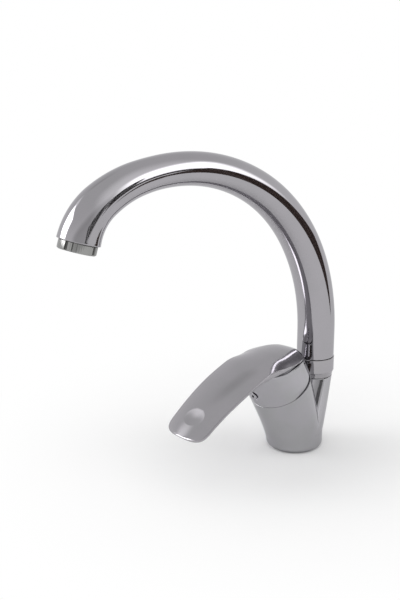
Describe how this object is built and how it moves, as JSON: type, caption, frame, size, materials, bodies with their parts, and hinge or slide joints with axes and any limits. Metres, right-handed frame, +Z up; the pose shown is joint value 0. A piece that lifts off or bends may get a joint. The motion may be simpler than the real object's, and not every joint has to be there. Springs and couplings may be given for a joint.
{
  "type": "kitchen mixer tap",
  "caption": "Chromed single-lever kitchen mixer tap with a high swan-neck swivel spout and a broad leaf-shaped lever.",
  "frame": {"origin": "centre of the round foot on the deck's surface, under the foot", "axes": "+Z up, -Y forward: the spout and the lever point to -Y at rest, +X to the right seen from behind the tap"},
  "size_m": [0.0564, 0.2866, 0.2793],
  "materials": {
    "body_chrome": "polished chrome plating",
    "collar_chrome": "polished chrome plating",
    "spout_chrome": "polished chrome plating",
    "ring_chrome": "polished chrome plating",
    "lever_chrome": "polished chrome plating",
    "hub_chrome": "polished chrome plating",
    "cap_chrome": "polished chrome plating",
    "brass": "turned brass",
    "seal_rubber": "black sealing rubber",
    "gasket_rubber": "black rubber gasket",
    "glide_plastic": "natural acetal",
    "screw_steel": "stainless steel",
    "aerator_plastic": "white moulded plastic",
    "mesh_steel": "fine steel mesh",
    "socket_plastic": "dark moulded plastic",
    "stem_steel": "steel",
    "cartridge_plastic": "moulded plastic",
    "yoke_plastic": "moulded plastic",
    "disc_ceramic": "ground alumina ceramic"
  },
  "bodies": {
    "base": {"body": "body_chrome", "spout_collar": "collar_chrome", "glide_ring_upper": "glide_plastic", "glide_ring_lower": "glide_plastic", "spout_lock_screw": "screw_steel", "foot_gasket": "gasket_rubber", "cartridge_base": "cartridge_plastic", "cartridge_seals": "seal_rubber", "fixed_disc": "disc_ceramic", "disc_seal": "seal_rubber", "cartridge_housing": "cartridge_plastic", "cartridge_nut": "brass", "dome_cap": "cap_chrome"},
    "swivel_spout": {"spout": "spout_chrome", "spout_tail": "brass", "spout_o_rings": "seal_rubber", "aerator_housing": "ring_chrome", "aerator_insert": "aerator_plastic", "aerator_mesh": "mesh_steel", "aerator_washer": "seal_rubber"},
    "carrier": {"stem_carrier": "cartridge_plastic", "pivot_pin": "stem_steel"},
    "lever": {"lever_blade": "lever_chrome", "lever_hub": "hub_chrome", "lever_socket": "socket_plastic", "lever_set_screw": "screw_steel", "stem": "stem_steel"},
    "disc_drive": {"drive_yoke": "yoke_plastic", "moving_disc": "disc_ceramic"}
  },
  "joints": [
    {"name": "spout_swivel", "type": "hinge", "parent": "base", "child": "swivel_spout", "pos_m": [0, 0.0246, 0.0606], "axis": [0, 0, 1], "continuous": true},
    {"name": "lever_turn", "type": "hinge", "parent": "base", "child": "carrier", "pos_m": [0, -0.02005, 0.0613], "axis": [0, -0.4695, 0.8829], "range_deg": [-45, 45]},
    {"name": "lever_lift", "type": "hinge", "parent": "carrier", "child": "lever", "pos_m": [0, -0.02428, 0.06925], "axis": [-1, 0, 0], "range_deg": [0, 18]},
    {"name": "disc_slide", "type": "slide", "parent": "carrier", "child": "disc_drive", "axis": [0, -0.8829, -0.4695], "range_m": [0, 0.0072]}
  ],
  "couplings": [
    {"joint": "disc_slide", "follows": "lever_lift", "m_per_rad": 0.0226}
  ]
}
